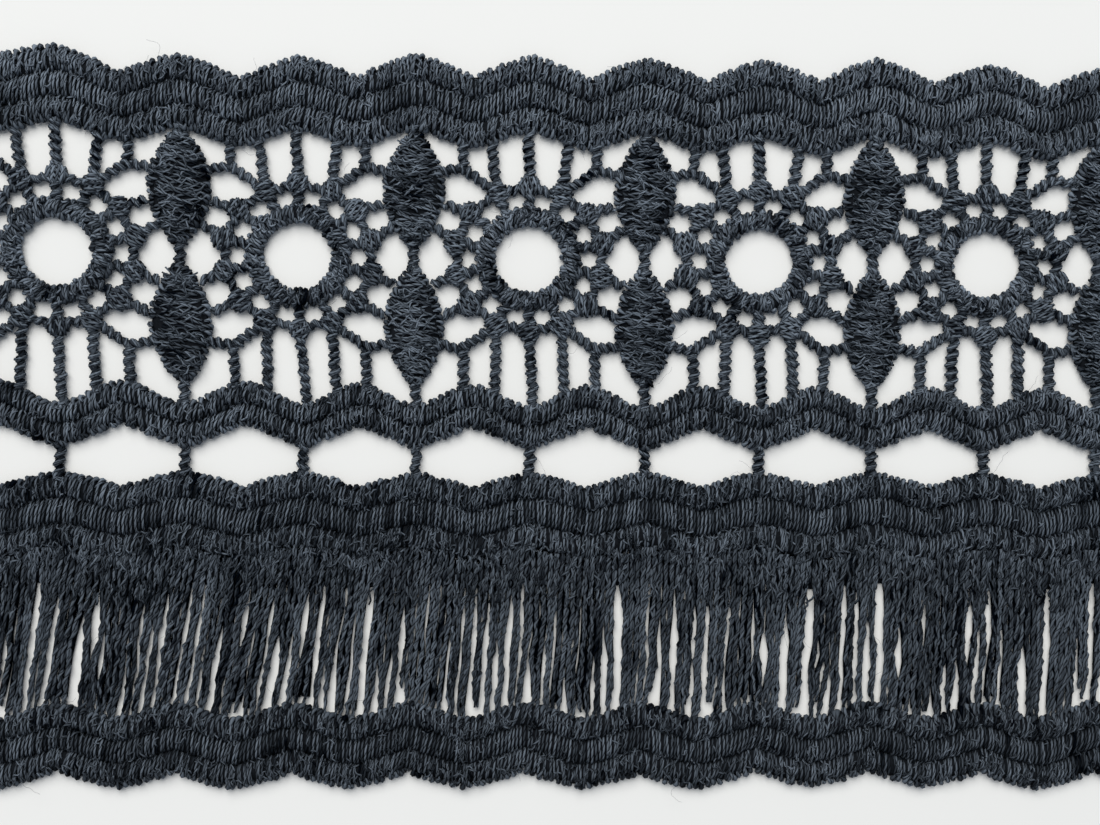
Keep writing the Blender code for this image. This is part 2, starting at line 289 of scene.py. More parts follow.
# %% [markdown]
# ## Tubes from paths
# A bevelled curve would make each thread, but its surface has no UV map that runs along it, and there are
# thousands of threads. So the tubes are worked out as arrays: a small ring of corners at each point of a
# path, joined ring to ring, with a lid at each end. All threads with as many points are made in one go.

# %% The tube maker
UP = np.array([0.0, 0.0, 1.0])
ALONG = np.array([1.0, 0.0, 0.0])
rng = np.random.default_rng(20)


def unit(vectors):
    return vectors / (np.linalg.norm(vectors, axis=-1, keepdims=True) + 1e-12)


def anywhere(count, room=0.8 * MM):
    """Places along the trim, with that room to its ends."""
    return rng.uniform(-HALF_LENGTH + room, HALF_LENGTH - room, count)


def tubes(paths, radius, sides=4, side=UP, tone=None, ridge=False):
    """Sweeps a ring along each path. paths is threads x points x 3. side must never lie along a path.
    A tube with a ridge has a corner of its ring on top, and looks rounder where it bends over an edge."""
    paths = np.asarray(paths, dtype=float)
    threads, points = paths.shape[:2]
    radius = np.broadcast_to(radius, (threads, points))
    ahead = unit(np.gradient(paths, axis=1))
    across = unit(np.cross(ahead, np.broadcast_to(side, paths.shape)))
    up = np.cross(across, ahead)
    turn = 2 * np.pi * (np.arange(sides) + (0.0 if ridge else 0.5)) / sides
    ring = across[:, :, None] * np.cos(turn)[:, None] + up[:, :, None] * np.sin(turn)[:, None]
    corners = paths[:, :, None] + radius[:, :, None, None] * ring

    start = (np.arange(threads) * points * sides)[:, None, None]
    j, k = np.meshgrid(np.arange(points - 1), np.arange(sides), indexing="ij")
    here, after = j * sides + k, j * sides + (k + 1) % sides
    walls = np.stack([here, here + sides, after + sides, after], axis=-1).reshape(1, -1, 4) + start
    lid = np.array([[0, 1, 2, 3]] if sides == 4 else [[0, 1, 2, 3], [0, 3, 4, 5]])
    last = (points - 1) * sides + lid[:, ::-1]
    faces = np.concatenate([walls, lid[None] + start, last[None] + start], axis=1).reshape(-1, 4)

    steps = np.linalg.norm(np.diff(paths, axis=1), axis=2)
    length = np.concatenate([np.zeros((threads, 1)), np.cumsum(steps, axis=1)], axis=1) / MM
    length += rng.uniform(0, 40, (threads, 1))
    u_here, u_after = length[:, :-1, None], length[:, 1:, None]
    v_here, v_after = np.arange(sides) / sides, (np.arange(sides) + 1) / sides
    shape = (threads, points - 1, sides)
    wall_uv = np.stack(
        [
            np.stack([np.broadcast_to(u, shape), np.broadcast_to(v, shape)], axis=-1)
            for u, v in ((u_here, v_here), (u_after, v_here), (u_after, v_after), (u_here, v_after))
        ],
        axis=-2,
    ).reshape(threads, -1, 4, 2)
    lid_uv = np.zeros((threads, 2 * len(lid), 4, 2))
    lid_uv[..., 0] = length[:, -1, None, None]
    uv = np.concatenate([wall_uv, lid_uv], axis=1).reshape(-1, 2)

    tone = rng.uniform(0, 1, (threads, 1)) if tone is None else tone
    tone = np.repeat(np.broadcast_to(tone, (threads, points))[..., None], sides, axis=2)
    return corners.reshape(-1, 3), faces, uv, tone.reshape(-1)


def stitched(name, batches, finish):
    """Joins batches of tubes into one object that lies with the cloth."""
    corners = lay(np.concatenate([batch[0] for batch in batches]))
    starts = np.cumsum([0] + [len(batch[0]) for batch in batches])
    faces = np.concatenate([batch[1] + start for batch, start in zip(batches, starts)])
    mesh = bpy.data.meshes.new(name)
    mesh.vertices.add(len(corners))
    mesh.vertices.foreach_set("co", corners.astype(np.float32).ravel())
    mesh.loops.add(faces.size)
    mesh.loops.foreach_set("vertex_index", faces.astype(np.int32).ravel())
    mesh.polygons.add(len(faces))
    mesh.polygons.foreach_set("loop_start", np.arange(len(faces), dtype=np.int32) * 4)
    mesh.polygons.foreach_set("use_smooth", np.ones(len(faces), dtype=bool))
    mesh.update(calc_edges=True)
    uv = mesh.uv_layers.new(name="UVMap")
    uv.data.foreach_set("uv", np.concatenate([batch[2] for batch in batches]).astype(np.float32).ravel())
    tone = mesh.attributes.new("tone", "FLOAT", "POINT")
    tone.data.foreach_set("value", np.concatenate([batch[3] for batch in batches]).astype(np.float32))
    mesh.materials.append(finish)
    piece = bpy.data.objects.new(name, mesh)
    bpy.context.scene.collection.objects.link(piece)
    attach(piece, "root")
    print(f"{name}: {len(faces) * 2} triangles")
    return piece


# %% [markdown]
# ## Satin stitches
# Each rib of a band is one thread wound over its padding: up across the face, round the edge, back along the
# underside and on to the next stitch. Seven points make one turn. The stitches are about 0.47 mm apart, and
# what makes them look sewn is that no two start, lean or rise quite alike.

# %% Ribs of satin stitch
STITCH_PITCH = 0.47 * MM
SATIN_RADIUS = 0.175 * MM
EDGE_ROOM = 0.34 * MM
VALLEY_HEIGHT = 0.8 * MM
TURN_ACROSS = np.array([-1.0, -0.62, 0.0, 0.62, 1.0, 0.45, -0.45])
TURN_HEIGHT = np.array([0.62, 1.36, 1.72, 1.36, 0.62, 0.19, 0.19]) * MM
TURN_ALONG = np.array([0.0, 0.08, 0.2, 0.32, 0.42, 0.62, 0.82])


def rib_edges(band, rib, x):
    """Y of a rib's lower and upper edge at x. Ribs are counted from the foot of the band."""
    top, foot, ribs = BANDS[band]
    low, high = edge_y(foot, x), edge_y(top, x)
    return low + (high - low) * rib / ribs, low + (high - low) * (rib + 1) / ribs


def satin_rib(band, rib, loose, seed):
    """One thread wound over a rib, from end to end of the lace."""
    x = np.arange(-HALF_LENGTH + 0.25 * MM, HALF_LENGTH - 0.6 * MM, STITCH_PITCH)
    low, high = rib_edges(band, rib, x)
    low = low + (EDGE_ROOM if rib == 0 else 0.0)
    high = high - (EDGE_ROOM if rib == BANDS[band][2] - 1 else 0.0)
    n = len(x)
    middle = (low + high) / 2 + rng.normal(0, 0.35 * loose, n)
    half = (high - low) / 2 * (1.0 + rng.normal(0, 0.06, n))
    lean = 0.16 * MM * wander(x, 22 * MM, seed) + rng.normal(0, 0.6 * loose, n)
    bow = rng.normal(0, 0.5 * loose, n)
    start = x + rng.normal(0, 0.5 * loose, n)
    across = TURN_ACROSS[None]
    turn_height = TURN_HEIGHT.copy()
    if rib > 0:
        turn_height[0] = VALLEY_HEIGHT
    if rib < BANDS[band][2] - 1:
        turn_height[4] = VALLEY_HEIGHT
    path = np.empty((n, len(TURN_ACROSS), 3))
    path[..., 0] = start[:, None] + STITCH_PITCH * TURN_ALONG + lean[:, None] * across
    path[..., 0] += bow[:, None] * (1 - across**2)
    path[..., 1] = middle[:, None] + half[:, None] * across
    path[..., 2] = turn_height + rng.normal(0, 0.35 * loose, (n, 1)) * (turn_height > 1.0 * MM)
    path[..., 0] = np.clip(path[..., 0], -HALF_LENGTH, HALF_LENGTH)
    tone = np.repeat(rng.uniform(0.08, 1, n) ** 1.2, len(TURN_ACROSS))[None]
    return tubes(path.reshape(1, -1, 3), SATIN_RADIUS, side=ALONG, tone=tone)


# %% [markdown]
# ## Loops along the edges
# Along each edge the lock stitches stand out as a row of beads, about 0.8 mm apart. Each is a loop of thread
# that comes over the edge from the face and goes back underneath. It is thickest where it turns round the
# edge. The leg on the face is long on some loops, which gives the outer ribs their curly look.

# %% Edge loops
LOOP_PITCH = 0.82 * MM
LOOP_RADIUS = np.array([0.12, 0.22, 0.39, 0.36, 0.19]) * MM
LOOP_SIDE = np.array([-0.16, -0.1, -0.02, 0.05, 0.1]) * MM
LOOP_OUT = np.array([-1.0, -0.4, -0.18, -0.21, -0.7]) * MM
LOOP_HEIGHT = np.array([1.38, 1.26, 0.88, 0.54, 0.32]) * MM


def along_line(line, pitch, spread=0.12):
    """Places at about equal distances along a line of points, with the direction of the line at each."""
    steps = np.linalg.norm(np.diff(line, axis=0), axis=1)
    length = np.concatenate([[0], np.cumsum(steps)])
    at = np.arange(0.5 * pitch, length[-1] - 0.4 * pitch, pitch)
    at = at + rng.normal(0, spread * pitch, len(at))
    place = np.stack([np.interp(at, length, line[:, i]) for i in range(2)], axis=1)
    nearby = np.stack([np.interp(at + 0.1 * MM, length, line[:, i]) for i in range(2)], axis=1)
    return place, unit(nearby - place)


def edge_loops(line, outward, leg=1.0, low=1.0, pitch=LOOP_PITCH, rough=0.07 * MM):
    """A row of loops over an edge. outward is 1 where the edge's left side is outside, and else -1."""
    place, ahead = along_line(line, pitch)
    out = outward * np.stack([-ahead[:, 1], ahead[:, 0]], axis=1)
    n = len(place)
    stretch = leg * rng.uniform(0.55, 1.5, (n, 1))
    side = LOOP_SIDE * rng.uniform(0.8, 1.25, (n, 1))
    side = side + rng.normal(0, 0.22, (n, 1)) * MM * (LOOP_OUT / LOOP_OUT.min()) ** 1.5
    reach = np.where(LOOP_OUT < -0.3 * MM, LOOP_OUT * stretch, LOOP_OUT) + rng.normal(0, rough, (n, 1))
    path = np.empty((n, len(LOOP_OUT), 3))
    path[..., :2] = place[:, None] + side[..., None] * ahead[:, None] + reach[..., None] * out[:, None]
    path[..., 2] = LOOP_HEIGHT * low + rng.normal(0, 0.04, (n, 1)) * MM * (LOOP_HEIGHT > 0.5 * MM)
    radius = LOOP_RADIUS * rng.uniform(0.82, 1.18, (n, 1))
    along = np.repeat(ahead @ np.eye(2, 3), len(LOOP_OUT), axis=0).reshape(n, -1, 3)
    return tubes(path, radius, sides=6, side=along, ridge=True)


def band_edge(name):
    x = np.linspace(-HALF_LENGTH + 0.2 * MM, HALF_LENGTH - 0.2 * MM, 1600)
    return np.stack([x, edge_y(name, x)], axis=1)


# %% [markdown]
# ## Short crossing stitches
# The outer ribs of a band also carry short stitches that cross at all angles. They are small arcs whose ends
# sink into the satin.

# %% Crossing stitches
CROSSING_RISE = np.array([-0.2, 0.05, 0.05, -0.2]) * MM
CROSSING_SHARE = np.array([-0.5, -0.18, 0.18, 0.5])


def crossing_stitches(middle, height, turn, spread, length=1.0 * MM, radius=0.13 * MM):
    """Short arcs at the places middle, turned about the angle turn from +Y, by up to spread either way."""
    n = len(middle)
    angle = turn + rng.normal(0, 0.6, n) * spread
    ahead = np.stack([np.sin(angle), np.cos(angle)], axis=1)
    out = np.stack([ahead[:, 1], -ahead[:, 0]], axis=1)
    reach = CROSSING_SHARE * length * rng.uniform(0.7, 1.4, (n, 1))
    bend = rng.normal(0, 0.2, (n, 1)) * MM * (1 - (2 * CROSSING_SHARE) ** 2)
    path = np.empty((n, len(CROSSING_SHARE), 3))
    bend = bend + rng.normal(0, 0.12, (n, 1)) * MM * np.sin(2 * np.pi * CROSSING_SHARE)
    path[..., :2] = middle[:, None] + reach[..., None] * ahead[:, None] + bend[..., None] * out[:, None]
    path[..., 2] = np.asarray(height)[:, None] + CROSSING_RISE + rng.normal(0, 0.03, (n, 1)) * MM
    return tubes(path, radius)


def satin_height(share):
    """Height of the satin's own middle line at a share of a rib's half width."""
    return np.maximum(np.interp(share, TURN_ACROSS[:5], TURN_HEIGHT[:5]), VALLEY_HEIGHT + 0.08 * MM)


def crossings_on_rib(band, rib, count):
    x = anywhere(count)
    low, high = rib_edges(band, rib, x)
    share = rng.uniform(-0.5 if rib == 0 else -1.08, 0.5 if rib == BANDS[band][2] - 1 else 1.08, count)
    y = (low + high) / 2 + share * (high - low) / 2
    return crossing_stitches(np.stack([x, y], axis=1), satin_height(share) + 0.13 * MM, 0.0, 0.9)


# %% The four bands
band_rows = {
    # band: (looseness of the foot, middle and top ribs in mm, crossing stitches on each, spread of the tones)
    "heading": ((0.19, 0.1, 0.19), (600, 340, 640), 0.5),
    "zigzag": ((0.13, 0.13), (370, 370), 0.85),
    "middle": ((0.2, 0.07, 0.14), (740, 180, 640), 1.0),
    "hem": ((0.14, 0.08, 0.15), (560, 210, 600), 1.0),
}
FOOT_CROSSINGS = 420
band_pieces = {}
for seed, (band, (looseness, crossings, spread)) in enumerate(band_rows.items()):
    top, foot, ribs = BANDS[band]
    batches = [satin_rib(band, rib, looseness[rib] * MM, 10 * seed + rib) for rib in range(ribs)]
    batches += [crossings_on_rib(band, rib, crossings[rib]) for rib in range(ribs)]
    batches.append(edge_loops(band_edge(top), 1))
    if band == "middle":
        x = anywhere(FOOT_CROSSINGS)
        places = np.stack([x, edge_y(foot, x) + rng.uniform(-0.6, 0.5, len(x)) * MM], axis=1)
        batches.append(crossing_stitches(places, np.full(len(x), 1.36 * MM), 0.0, 0.7, 1.5 * MM, 0.15 * MM))
    else:
        batches.append(edge_loops(band_edge(foot), -1))
    batches = [(corners, faces, uv, 0.5 + (tone - 0.5) * spread) for corners, faces, uv, tone in batches]
    finish = loop_thread if band == "middle" else satin_thread
    band_pieces[band] = stitched(band + "_stitches", batches, finish)

# %% [markdown]
# ## Leaves
# A leaf is filled with stitches from side to side. Two windings cross at a small angle, so the eye reads
# short crossing threads and not a ladder. Loops close the rim.

# %% Leaves in thread
LEAF_PITCH = 0.72 * MM
LEAF_CROSSINGS = 104
LEAF_HEIGHT = np.array([0.6, 1.24, 1.5, 1.24, 0.6, 0.2, 0.2]) * MM


def leaf_half(share, width):
    swell = np.sin(np.pi * np.clip(share, 0, 1)) ** 0.85
    return (LEAF_TIP_WIDTH + (width - LEAF_TIP_WIDTH) * swell) / 2


def leaf_winding(x, top, foot, width, slope, lift, phase):
    at = np.arange((0.02 + phase) * LEAF_PITCH, top - foot - 0.3 * LEAF_PITCH, LEAF_PITCH)
    n = len(at)
    share = at / (top - foot)
    half = (leaf_half(share, width) - 0.36 * MM) * (1 + rng.normal(0, 0.04, n))
    path = np.empty((n, len(TURN_ACROSS), 3))
    tilt = slope * half + rng.normal(0, 0.26, n) * MM
    path[..., 0] = x + half[:, None] * TURN_ACROSS + rng.normal(0, 0.05, (n, 1)) * MM
    path[..., 1] = (top - at)[:, None] - LEAF_PITCH * TURN_ALONG + tilt[:, None] * TURN_ACROSS
    path[..., 1] += rng.normal(0, 0.22, (n, 1)) * MM * (1 - TURN_ACROSS**2)
    squash = np.clip(half / (1.6 * MM), 0.55, 1.0)[:, None]
    raised = (LEAF_HEIGHT - 0.6 * MM) * squash + 0.6 * MM + lift + rng.normal(0, 0.035, (n, 1)) * MM
    path[..., 2] = np.where(LEAF_HEIGHT > 0.5 * MM, raised, LEAF_HEIGHT)
    tone = np.repeat(rng.uniform(0, 1, n) ** 1.4, len(TURN_ACROSS))[None]
    return tubes(path.reshape(1, -1, 3), SATIN_RADIUS, side=np.array([0.0, 1.0, 0.0]), tone=tone)


def leaf_rim(x, top, foot, width):
    share = np.linspace(0.0, 1.0, 60)
    half = leaf_half(share, width)
    y = top - share * (top - foot)
    down = np.stack([x + half, y], axis=1)
    up = np.stack([x - half, y], axis=1)[::-1]
    return np.concatenate([down, up, down[:1]])


leaf_batches = []
for x in leaf_xs:
    for top, foot, width in LEAVES.values():
        leaf_batches.append(leaf_winding(x, top, foot, width, 0.2, 0.0, 0.0))
        leaf_batches.append(leaf_winding(x, top, foot, width, -0.22, 0.12 * MM, 0.5))
        leaf_batches.append(edge_loops(leaf_rim(x, top, foot, width), 1, leg=0.9, low=0.93, pitch=0.8 * MM))
        share = rng.uniform(0.08, 0.92, LEAF_CROSSINGS)
        off = rng.uniform(-0.7, 0.7, LEAF_CROSSINGS)
        places = np.stack([x + off * leaf_half(share, width), top - share * (top - foot)], axis=1)
        height = 1.2 * MM + 0.42 * MM * (1 - off**2)
        leaf_batches.append(crossing_stitches(places, height, np.pi / 2, 0.85, 1.7 * MM, 0.14 * MM))
leaves = stitched("leaf_stitches", leaf_batches, loop_thread)

# %% [markdown]
# ## Rings
# A rosette's ring is a core of padding wrapped all round with thread. The wraps lie in pairs, about forty to
# a ring, and each pair makes a bump on the inner edge. They are satin stitches on a circle, so the pitch is
# an angle here.

# %% Rings in thread
RING_PAIRS = 42
RING_WRAPS = 2 * RING_PAIRS
RING_CROSSINGS = 70
RING_HEIGHT = np.array([0.6, 1.36, 1.66, 1.36, 0.6, 0.2, 0.2]) * MM


def on_rosette(x, radius, angle):
    """A place on a rosette, by its radius and its angle from +Y."""
    return np.stack(
        [x + radius * np.sin(angle), ROSETTE_Y + ROSETTE_FLATTENED * radius * np.cos(angle)], axis=-1
    )


def ring_winding(x):
    pair = np.arange(RING_WRAPS) // 2
    apart = 0.44 * (np.arange(RING_WRAPS) % 2 - 0.5)
    turn = 2 * np.pi * (pair + apart + np.repeat(rng.normal(0, 0.12, RING_PAIRS), 2)) / RING_PAIRS
    middle = (RING_INSIDE + RING_OUTSIDE) / 2
    half = (RING_OUTSIDE - RING_INSIDE) / 2 - 0.2 * MM
    lean = np.repeat(rng.normal(0.03, 0.05, RING_PAIRS), 2)
    angle = turn[:, None] + 2 * np.pi * TURN_ALONG / RING_WRAPS + lean[:, None] * TURN_ACROSS
    bulge = np.repeat(rng.normal(0, 0.07, RING_PAIRS), 2)[:, None]
    radius = middle + half * TURN_ACROSS * (1.0 + bulge + rng.normal(0, 0.03, (RING_WRAPS, 1)))
    path = np.empty((RING_WRAPS, len(TURN_ACROSS), 3))
    path[..., :2] = on_rosette(x, radius, angle)
    raised = np.repeat(rng.normal(0, 0.08, RING_PAIRS), 2)[:, None] * MM
    path[..., 2] = RING_HEIGHT + raised * (RING_HEIGHT > MM)
    around = np.zeros_like(path)
    around[..., 0], around[..., 1] = np.cos(angle), -np.sin(angle)
    tone = np.repeat(rng.uniform(0, 0.9, RING_WRAPS), len(TURN_ACROSS))[None]
    return tubes(path.reshape(1, -1, 3), 0.2 * MM, side=around.reshape(1, -1, 3), tone=tone)


def ring_edge(x, radius):
    angle = np.linspace(0, 2 * np.pi, 181)
    return on_rosette(x, radius, angle)


ring_batches = []
for x in rosette_xs:
    ring_batches.append(ring_winding(x))
    for edge, outward, pitch in ((RING_INSIDE, -1, 0.66 * MM), (RING_OUTSIDE, 1, 0.86 * MM)):
        ring_batches.append(edge_loops(ring_edge(x, edge), outward, leg=0.6, pitch=pitch, rough=0.11 * MM))
    angle = rng.uniform(0, 2 * np.pi, RING_CROSSINGS)
    radius = rng.uniform(4.8, 6.2, RING_CROSSINGS) * MM
    places = on_rosette(x, radius, angle)
    height = np.full(RING_CROSSINGS, 1.7 * MM)
    ring_batches.append(crossing_stitches(places, height, 0.0, 3.0, 0.9 * MM, 0.15 * MM))
rings = stitched("ring_wraps", ring_batches, satin_thread)

# %% [markdown]
# ## Knots
# Fourteen knots sit round each ring. A knot is a small flat ball of thread. Its path is a row of circles
# stood on edge that goes over the ball and comes back, turned a little, so that the threads lie side by side
# in two layers.

# %% Knots in thread
KNOT_TURNS = 12
KNOT_POINTS = 7 * KNOT_TURNS
KNOT_ACROSS, KNOT_HALF_HIGH, KNOT_MIDDLE_HEIGHT = 1.43 * MM, 0.6 * MM, 0.86 * MM


def knot_windings(places):
    """One winding for each place."""
    n = len(places)
    s = np.linspace(0, 1, KNOT_POINTS)[None]
    circle = 2 * np.pi * KNOT_TURNS * s + rng.uniform(0, 6, (n, 1))
    back = 1 / (1 + np.exp(-30 * (s - 0.5)))
    turn = rng.uniform(0, np.pi, (n, 1)) + rng.choice([-1, 1], (n, 1)) * rng.uniform(0.5, 1.0, (n, 1)) * back
    drift = 0.86 * np.cos(2 * np.pi * s)
    size = KNOT_ACROSS * rng.uniform(0.92, 1.1, (n, 1)) * (0.94 + 0.06 * back)
    size = size * (1 + 0.05 * places[:, :1] / HALF_LENGTH)
    reach = size * np.sqrt(1 - drift**2) * np.cos(circle)
    off = size * drift
    path = np.empty((n, KNOT_POINTS, 3))
    path[..., 0] = places[:, :1] + reach * np.cos(turn) - off * np.sin(turn)
    path[..., 1] = places[:, 1:] + reach * np.sin(turn) + off * np.cos(turn)
    rise = KNOT_HALF_HIGH * (0.9 + 0.12 * back) * np.sqrt(1 - 0.72 * drift**2)
    path[..., 2] = KNOT_MIDDLE_HEIGHT + rise * np.sin(circle)
    level = np.stack([-np.sin(turn), np.cos(turn), np.zeros_like(turn)], axis=-1)
    tone = rng.uniform(0.3, 0.7, (n, 1)) + 0.4 * np.sin(2 * np.pi * s * 5.3 + rng.uniform(0, 6, (n, 1)))
    return tubes(path, 0.2 * MM, side=level, tone=tone)


def knot_places(x):
    return on_rosette(x, KNOT_MIDDLE, 2 * np.pi * np.arange(KNOTS) / KNOTS)


knot_xy = np.concatenate([knot_places(x) for x in rosette_xs])
knots = stitched("knots", [knot_windings(knot_xy + rng.normal(0, 0.08, knot_xy.shape) * MM)], loop_thread)

# %% [markdown]
# ## Bars and links
# A bar is a core with thread wrapped round it in a steep spiral, so its two sides bulge by turns, about every
# 1.15 mm. Each wrap is a bundle of three threads side by side. The thin links are made in the same way.

# %% Bars in thread
BAR_PITCH = 1.15 * MM
BAR_POINTS_PER_MM = 5.3
BAR_HEIGHT = 0.78 * MM
CORE_RADIUS = 0.46 * MM
BUNDLE = (
    # (offset along the bar, distance from its middle, tone)
    (-0.25 * MM, 0.52 * MM, 0.15),
    (0.0 * MM, 0.68 * MM, 0.85),
    (0.25 * MM, 0.52 * MM, 0.45),
)


def route(points, step):
    """A fine line through a few points, rounded at its corners, with the distance along it at each."""
    points = np.asarray(points, dtype=float)
    steps = np.linalg.norm(np.diff(points, axis=0), axis=1)
    length = np.concatenate([[0], np.cumsum(steps)])
    count = max(6, int(length[-1] / step))
    at = np.linspace(0, length[-1], count)
    line = np.stack([np.interp(at, length, points[:, i]) for i in range(2)], axis=1)
    for _ in range(6 if len(points) > 2 else 0):
        line[1:-1] = (line[:-2] + 2 * line[1:-1] + line[2:]) / 4
    return line, at


def wrapped_bar(points, thick=1.0):
    """A core and three threads wrapped round it along the route."""
    line, at = route(points, MM / BAR_POINTS_PER_MM)
    thick = thick * (1 + 0.08 * line[0, 0] / HALF_LENGTH)
    ahead = unit(np.gradient(line, axis=0))
    out = np.stack([-ahead[:, 1], ahead[:, 0]], axis=1)
    sway = 0.07 * MM * wander(at, 3.0 * MM, rng.integers(1 << 30))
    ends = np.minimum(1.0, np.minimum(at, at[-1] - at) / (0.8 * MM))
    line = line + (sway * ends)[:, None] * out
    core = np.concatenate([line, np.full((len(line), 1), BAR_HEIGHT)], axis=1)
    batches = [tubes(core[None, ::2], CORE_RADIUS * thick, tone=np.array([[0.1]]))]
    hand = 1 if rng.random() < 0.8 else -1
    start = rng.uniform(0, 2 * np.pi)
    uneven = 0.7 * wander(at, 4.0 * MM, rng.integers(1 << 30))
    for offset, distance, shade in BUNDLE:
        turn = hand * (2 * np.pi * at / (BAR_PITCH * thick**0.5) + uneven) + start
        swell = distance * thick * (1 + 0.1 * wander(at, 1.7 * MM, rng.integers(1 << 30)))
        centre = line + offset * thick * ahead
        path = np.empty((len(at), 3))
        path[:, :2] = centre + (swell * np.cos(turn))[:, None] * out
        path[:, 2] = BAR_HEIGHT + 0.78 * swell * np.sin(turn)
        shade = np.array([[shade + rng.normal(0, 0.1)]])
        batches.append(tubes(path[None], 0.21 * MM * thick**0.5, side=out @ np.eye(2, 3), tone=shade))
    return batches


BITE = 0.6 * MM
TOP_BARS = ((0, -0.3 * MM), (1, 4.9 * MM), (-1, -4.9 * MM))
FOOT_BARS = ((7, 0.5 * MM), (6, 4.4 * MM), (8, -4.4 * MM))
FORK_TOP = (8.35 * MM, 31.7 * MM)
FORK_FOOT = (8.3 * MM, 9.5 * MM)
LEAF_TIES = (
    # (knot, how far out the link meets the leaf, its Y there)
    (2, 10.6 * MM, 27.2 * MM),
    (3, 11.9 * MM, 24.4 * MM),
    (4, 11.9 * MM, 17.3 * MM),
    (5, 10.7 * MM, 13.6 * MM),
)
LINK = 0.95


def knot_at(x, index):
    return tuple(on_rosette(x, KNOT_MIDDLE, 2 * np.pi * index / KNOTS))


bar_batches = []
for x in rosette_xs:
    for knot, out in TOP_BARS:
        meets = x + out
        bar_batches += wrapped_bar([knot_at(x, knot), (meets, edge_y("heading_foot", meets) + BITE)])
    for knot, out in FOOT_BARS:
        meets = x + out
        bar_batches += wrapped_bar([knot_at(x, knot), (meets, edge_y("zigzag_top", meets) - BITE)])
    for hand in (-1, 1):
        for (out, y), edge, bite, knot, leaf_y in (
            (FORK_TOP, "heading_foot", BITE, 1, 31.0 * MM),
            (FORK_FOOT, "zigzag_top", -BITE, 6, 10.1 * MM),
        ):
            corner = (x + hand * out, y)
            bar_batches += wrapped_bar([corner, (corner[0], edge_y(edge, corner[0]) + bite)])
            leaf_end = (x + hand * 11.9 * MM, leaf_y)
            bar_batches += wrapped_bar([knot_at(x, hand * knot), corner, leaf_end], LINK)
        for knot, out, y in LEAF_TIES:
            bar_batches += wrapped_bar([knot_at(x, hand * knot), (x + hand * out, y)], LINK)
for x in leaf_xs:
    upper_top, upper_foot, _ = LEAVES["upper"]
    lower_top, lower_foot, _ = LEAVES["lower"]
    bar_batches += wrapped_bar([(x, edge_y("heading_foot", x) + BITE), (x, upper_top - BITE)])
    bar_batches += wrapped_bar([(x, upper_foot + BITE), (x, lower_top - BITE)])
    bar_batches += wrapped_bar([(x, lower_foot + BITE), (x, edge_y("zigzag_top", x) - BITE)])
for x in bar_xs:
    bar_batches += wrapped_bar([(x, edge_y("zigzag_foot", x) + BITE), (x, edge_y("middle_top", x) - BITE)])
bars = stitched("bars", bar_batches, loop_thread)

# %% Links between the knots, and from the knots to the ring
link_batches = []
for x in rosette_xs:
    for k in range(KNOTS):
        turn, following = 2 * np.pi * k / KNOTS, 2 * np.pi * (k + 1) / KNOTS
        rim = 9.15 * MM
        ends = [on_rosette(x, rim, turn + 0.08), on_rosette(x, rim, following - 0.08)]
        link_batches += wrapped_bar([tuple(e) for e in ends], LINK)
        spoke = [on_rosette(x, 6.2 * MM, turn), on_rosette(x, 8.8 * MM, turn)]
        link_batches += wrapped_bar([tuple(e) for e in spoke], 1.05)
links = stitched("knot_links", link_batches, loop_thread)

# %% [markdown]
# ## The fringe
# The strands hang side by side from the middle band. Near their roots they touch, and further down narrow
# slits open between them. So the slits are set out first, each with its own start and width, and every strand
# fills what is left between two slits. A strand is two twisted pairs of threads. Some pairs, and some whole
# strands, stop short of the hem in a blunt end. The strands at the left lean more than the rest.

# %% Slits between the strands
STRAND_PITCH = 1.45 * MM
STRANDS = int(2 * HALF_LENGTH / STRAND_PITCH)
STRAND_POINTS = 31
SLIT_HALVES = (0.0, 0.2 * MM, 0.34 * MM, 0.47 * MM, 0.6 * MM)
SLIT_CHANCES = (0.22, 0.2, 0.26, 0.2, 0.12)


def slit_lines():
    """The middle line and half width of each slit, at every share of the way down."""
    share = np.linspace(0, 1, STRAND_POINTS)[None]
    x = -HALF_LENGTH + np.arange(STRANDS + 1)[:, None] * STRAND_PITCH
    n = len(x)
    lean = -(2.5 - 2.1 * np.clip((x + 42 * MM) / (50 * MM), 0, 1)) * MM
    lean = lean - 0.7 * MM * np.exp(-(((x + 33 * MM) / (7 * MM)) ** 2))
    lean = lean * np.clip((x + HALF_LENGTH) / (7 * MM), 0, 1) + 0.3 * MM * wander(x, 31 * MM, 5)
    clump = 0.42 * MM * np.clip(rng.normal(0, 0.7, (n, 1)), -1.3, 1.3)
    sway = 0.15 * MM * np.sin(2 * np.pi * (share * rng.uniform(1.0, 2.6, (n, 1)) + rng.uniform(0, 1, (n, 1))))
    middle = x + lean * share**1.15 + (clump + sway) * share
    opens = 0.07 + 0.74 * rng.random((n, 1)) ** 1.2
    closes = np.where(rng.random((n, 1)) < 0.13, opens + rng.uniform(0.3, 0.5, (n, 1)), 2.0)
    wide = rng.choice(SLIT_HALVES, size=(n, 1), p=SLIT_CHANCES)
    ramp = np.clip((share - opens) / 0.24, 0, 1)
    shut = np.clip((closes - share) / 0.15, 0, 1)
    half = wide * ramp * ramp * (3 - 2 * ramp) * shut + 0.02 * MM
    middle[0] = -HALF_LENGTH + 0.15 * MM
    middle[-1] = x[-1]
    return middle, half


